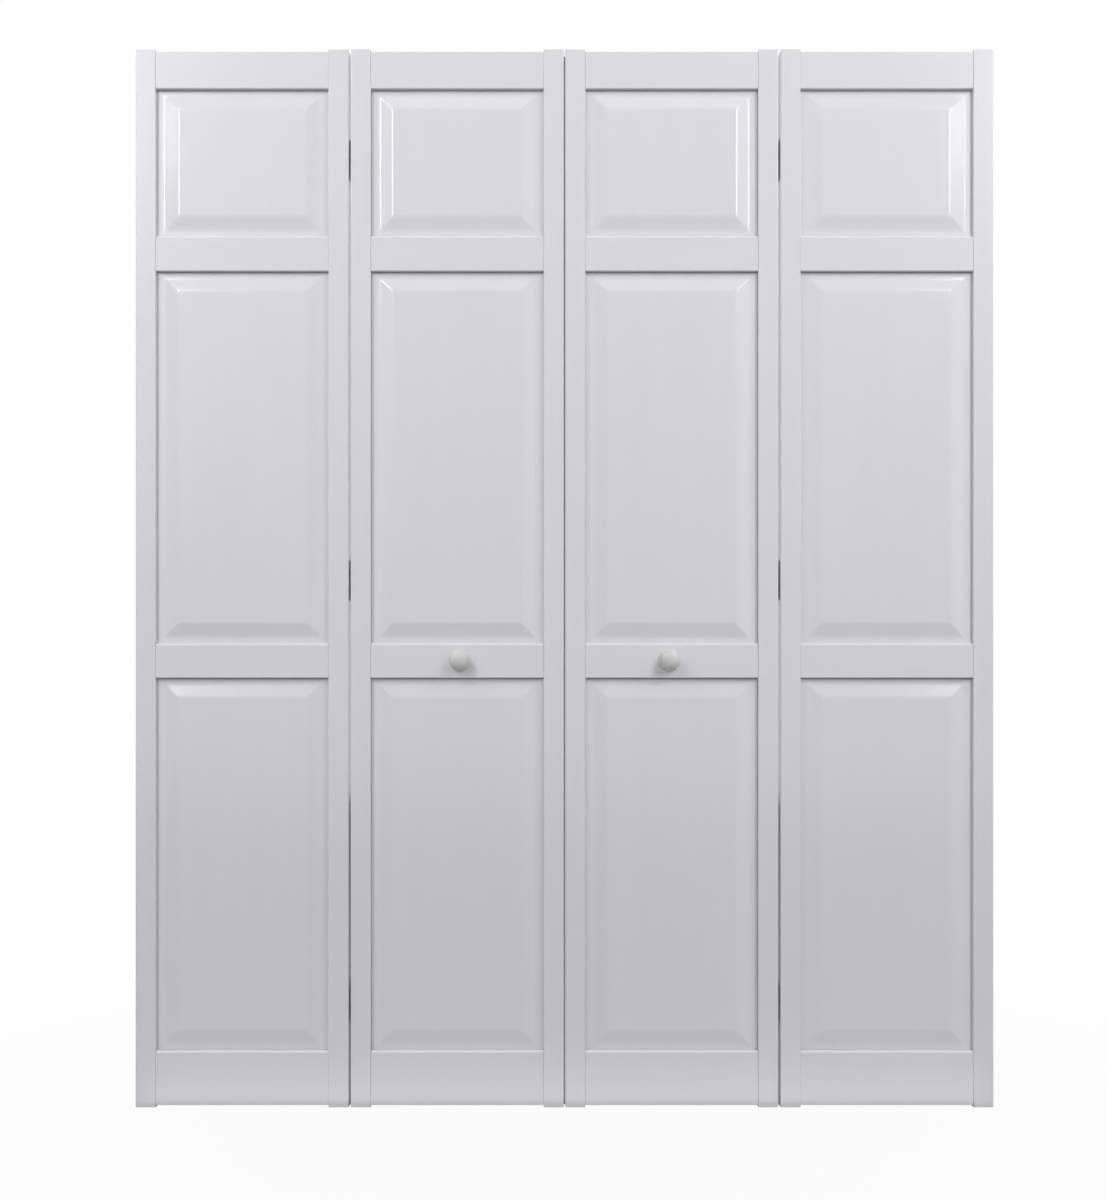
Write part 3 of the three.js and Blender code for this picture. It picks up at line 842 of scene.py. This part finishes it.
def hingeScrewTree():
    # three hinges with three screws each, every screw driven to a turn of its own
    kinds = [("Screw", "Object"), ("Axis X", "Float"), ("Outward", "Float"), ("Surface", "Material")]
    tree = newTree("hingeScrews", kinds + [(name, "Int" if name == "Seed" else "Float") for name in hingeScrews])
    given = addNode(tree, "NodeGroupInput").outputs
    x = calc(tree, "ADD", given["Axis X"], calc(tree, "MULTIPLY", given["Reach"], given["Outward"]))
    start = vector(tree, X=x, Y=given["Plate Back"], Z=given["First Hinge"])
    settings = {"Count": 3, "Start Location": start, "Offset": vector(tree, Z=given["Hinge Spacing"])}
    hinges = addNode(tree, "GeometryNodeMeshLine", settings).outputs[0]
    down = vector(tree, Z=calc(tree, "MULTIPLY", given["Screw Pitch"], -1.0))
    settings = {"Count": 3, "Start Location": down, "Offset": vector(tree, Z=given["Screw Pitch"])}
    row = addNode(tree, "GeometryNodeMeshLine", settings).outputs[0]
    rows = addNode(tree, "GeometryNodeInstanceOnPoints", {"Points": hinges, "Instance": row}).outputs[0]
    places = addNode(tree, "GeometryNodeRealizeInstances", {"Geometry": rows}).outputs[0]

    # the first and last screw of each plate stand nearer its knuckles
    order = calc(tree, "MODULO", addNode(tree, "GeometryNodeInputIndex").outputs[0], 3.0)
    isEnd = calc(tree, "GREATER_THAN", calc(tree, "ABSOLUTE", calc(tree, "SUBTRACT", order, 1.0)), 0.5)
    inward = calc(tree, "MULTIPLY", calc(tree, "MULTIPLY", given["Stagger"], given["Outward"]), -1.0)
    settings = {"Geometry": places, "Offset": vector(tree, X=calc(tree, "MULTIPLY", inward, isEnd))}
    places = addNode(tree, "GeometryNodeSetPosition", settings).outputs[0]

    turn = addNode(tree, "FunctionNodeRandomValue", data_type="FLOAT")
    sockets = [socket for socket in turn.inputs if socket.enabled]
    sockets[0].default_value, sockets[1].default_value = 0.0, 6.28  # about one full turn
    tree.links.new(given["Seed"], turn.inputs["Seed"])
    angle = [socket for socket in turn.outputs if socket.enabled][0]
    master = addNode(tree, "GeometryNodeObjectInfo", {"Object": given["Screw"]}).outputs["Geometry"]
    settings = {"Points": places, "Instance": master, "Rotation": vector(tree, Y=angle)}
    screws = addNode(tree, "GeometryNodeInstanceOnPoints", settings).outputs[0]
    return finishTree(tree, screws, given["Surface"])


screwTree = hingeScrewTree()
masterScrew = crossedScrew("masterScrew", **plateScrew, place=Matrix.Identity(4))
for leaf, (leftKind, rightKind) in leaves.items():
    onRight = rightKind == "fold"  # the hinges are on the leaf's right-hand edge
    for height in ("lower", "middle", "upper"):
        makeHingePlate(f"{leaf}_{height}_hinge_plate", -1 if onRight else 1, onRight)
    side = -1 if leaf.startswith("left") else 1
    values = {**hingeScrews, "Screw": masterScrew, "Surface": screwZinc}
    values.update({"Axis X": side * hinge["axisX"], "Outward": -1.0 if onRight else 1.0})
    screws = grownPiece(f"{leaf}_hinge_screws", screwTree, values)
    smoothNormals(screws)
    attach(screws, leaf + "_leaf")
bpy.data.objects.remove(masterScrew)
print("Hinges made")


# Floor, background, light and camera
studio = {
    "floorReach": 14.0,
    "floorColour": (0.42, 0.42, 0.43, 1),
    "ownLight": 0.95,
    "fadeFrom": 0.6,
    "fadeTo": 1.8,
    "worldLight": 0.39,
}
# places and aims of the lamps that stand on both sides, given for the right
sideLamps = {
    "Strip": {"place": (4.78, -9.0, 7.55), "aim": (0.45, 0, 1.6), "size": (0.6, 4.3), "power": 200.0},
    "Box": {"place": (1.55, -2.0, 2.4), "aim": (0.45, 0, 1.3), "size": (0.9, 1.7), "power": 14.2},
    "SideBox": {"place": (1.9, -1.2, 2.8), "aim": (0.5, 0, 1.2), "size": (0.6, 0.6), "power": 3.5},
    "BackBox": {"place": (2.6, 2.0, 2.4), "aim": (0.3, 0, 1.0), "size": (1.2, 1.6), "power": 30.0},
}
middleLamps = {
    "topBox": {"place": (0, -1.6, 3.8), "aim": (0, 0, 0.9), "size": (1.6, 0.8), "power": 3.5},
    "floorCard": {"place": (0, -0.06, 0.004), "aim": (0, -0.06, 1.0), "size": (1.6, 0.05), "power": 0.17},
}
pairOnly = ("Strip",)  # light only the leaves of their own side
unreflected = ("Box", "BackBox")  # light the leaves and leave no mirror image on them
# sizes of the glowing card that paints shade into the meeting gap
gapCard = {"half": 1.3 * mm, "front": 8.0 * mm, "back": 9.0 * mm, "top": 1.998, "shadeReach": 12.0 * mm}


def pairPieces(side):
    # everything that a light for one pair of leaves falls on
    pair = bpy.data.collections.new(side + "Pair")
    for piece in bpy.context.scene.objects:
        if piece.type == "MESH" and piece.name.startswith(side):
            pair.objects.link(piece)
    return pair


def softbox(name, place, aim, size, power):
    data = bpy.data.lights.new(name, "AREA")
    data.shape, data.size, data.size_y = "RECTANGLE", size[0], size[1]
    data.energy = power
    lamp = bpy.data.objects.new(name, data)
    bpy.context.scene.collection.objects.link(lamp)
    lamp.location = place
    lamp.rotation_euler = (Vector(aim) - Vector(place)).to_track_quat("-Z", "Y").to_euler()
    lamp.visible_camera = False
    return lamp


def makeLamps():
    for side, sign in (("left", -1), ("right", 1)):
        pair = pairPieces(side)
        for kind, lamp in sideLamps.items():
            placed = {key: (sign * lamp[key][0], *lamp[key][1:]) for key in ("place", "aim")}
            made = softbox(side + kind, **{**lamp, **placed})
            made.visible_glossy = kind not in unreflected
            if kind in pairOnly:
                made.light_linking.receiver_collection = pair
    for name, lamp in middleLamps.items():
        softbox(name, **lamp)


def emptyFinish(name):
    # a new material without its shader, for the floor and the card
    material, tree, surface = newFinish(name)
    tree.nodes.remove(surface)
    return material, tree, tree.nodes["Material Output"].inputs["Surface"]


def makeFloor():
    reach = studio["floorReach"]
    corners = [(-reach, -reach, 0), (reach, -reach, 0), (reach, reach, 0), (-reach, reach, 0)]
    mesh = bpy.data.meshes.new("floor")
    mesh.from_pydata(corners, [], [(0, 1, 2, 3)])
    floor = newPiece("floor", mesh)
    material, tree, output = emptyFinish("floorPaint")
    matt = addNode(tree, "ShaderNodeBsdfDiffuse", {"Color": studio["floorColour"]}).outputs[0]
    glow = addNode(tree, "ShaderNodeEmission", {"Strength": 1.0}).outputs[0]
    place = addNode(tree, "ShaderNodeTexCoord").outputs["Object"]
    away = addNode(tree, "ShaderNodeVectorMath", {0: place}, operation="LENGTH").outputs["Value"]
    near, far = studio["fadeFrom"], studio["fadeTo"]
    settings = {"Value": away, "From Min": near, "From Max": far, "To Min": studio["ownLight"]}
    fade = addNode(tree, "ShaderNodeMapRange", settings).outputs[0]
    seen = addNode(tree, "ShaderNodeLightPath").outputs["Is Camera Ray"]
    share = calc(tree, "MULTIPLY", fade, seen)
    tree.links.new(addNode(tree, "ShaderNodeMixShader", {0: share, 1: matt, 2: glow}).outputs[0], output)
    floor.data.materials.append(material)


def makeWorld():
    # white to the camera, in reflections and through glass, and dimmer as a light
    world = bpy.data.worlds.new("studio")
    bpy.context.scene.world = world
    world.use_nodes = True
    tree = world.node_tree
    tree.nodes.clear()
    path = addNode(tree, "ShaderNodeLightPath").outputs
    seen = calc(tree, "MAXIMUM", path["Is Camera Ray"], path["Is Glossy Ray"])
    seen = calc(tree, "MAXIMUM", seen, path["Is Transmission Ray"])
    settings = {"Color": (1, 1, 1, 1), "Strength": studio["worldLight"]}
    lit = addNode(tree, "ShaderNodeBackground", settings).outputs[0]
    white = addNode(tree, "ShaderNodeBackground", {"Color": (1, 1, 1, 1), "Strength": 1.0}).outputs[0]
    both = addNode(tree, "ShaderNodeMixShader", {0: seen, 1: lit, 2: white}).outputs[0]
    addNode(tree, "ShaderNodeOutputWorld", {"Surface": both})


def makePaintedGapShade():
    # a narrow card in the meeting gap that glows to the camera, with painted shade from ambient occlusion: dark
    # between the closed leaves and as white as the backdrop without them
    half, front, back = gapCard["half"], gapCard["front"], gapCard["back"]
    outline = [(-half, front), (half, front), (half, back), (-half, back)]
    card = newPiece("gapCard", drawnOut(outline, 0.0, gapCard["top"], lambda a, b, t: Vector((a, b, t))))
    material, tree, output = emptyFinish("cardPaint")
    shade = addNode(tree, "ShaderNodeAmbientOcclusion", {"Distance": gapCard["shadeReach"]}).outputs["AO"]
    seen = addNode(tree, "ShaderNodeLightPath").outputs["Is Camera Ray"]
    # the glow is painted shade: ambient occlusion dims it where the closed leaves stand round it
    glow = addNode(tree, "ShaderNodeEmission", {"Strength": calc(tree, "MULTIPLY", shade, seen)}).outputs[0]
    tree.links.new(glow, output)
    card.data.materials.append(material)


camera = {
    "distance": 2.4,
    "height": 0.685,
    "pixel": 1.89 * mm,
    "axisPixel": (564.5, 745.0),
    "imageSize": (1107, 1200),
    "sensor": 36.0,
}


def makeCamera():
    data = bpy.data.cameras.new("camera")
    eye = bpy.data.objects.new("camera", data)
    bpy.context.scene.collection.objects.link(eye)
    data.sensor_width = camera["sensor"]
    width, height = camera["imageSize"]
    data.lens = camera["distance"] / camera["pixel"] / height * data.sensor_width
    data.shift_x = (width / 2 - camera["axisPixel"][0]) / height
    data.shift_y = (camera["axisPixel"][1] - height / 2) / height
    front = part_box("left_inner_lead_stile")[0].y
    eye.location = (0, front - camera["distance"], camera["height"])
    eye.rotation_euler = (math.pi / 2, 0, 0)
    bpy.context.scene.camera = eye


makeFloor()
makeWorld()
makeLamps()
makePaintedGapShade()
makeCamera()
bpy.context.scene.view_settings.view_transform = "Standard"
print("Studio and camera set")
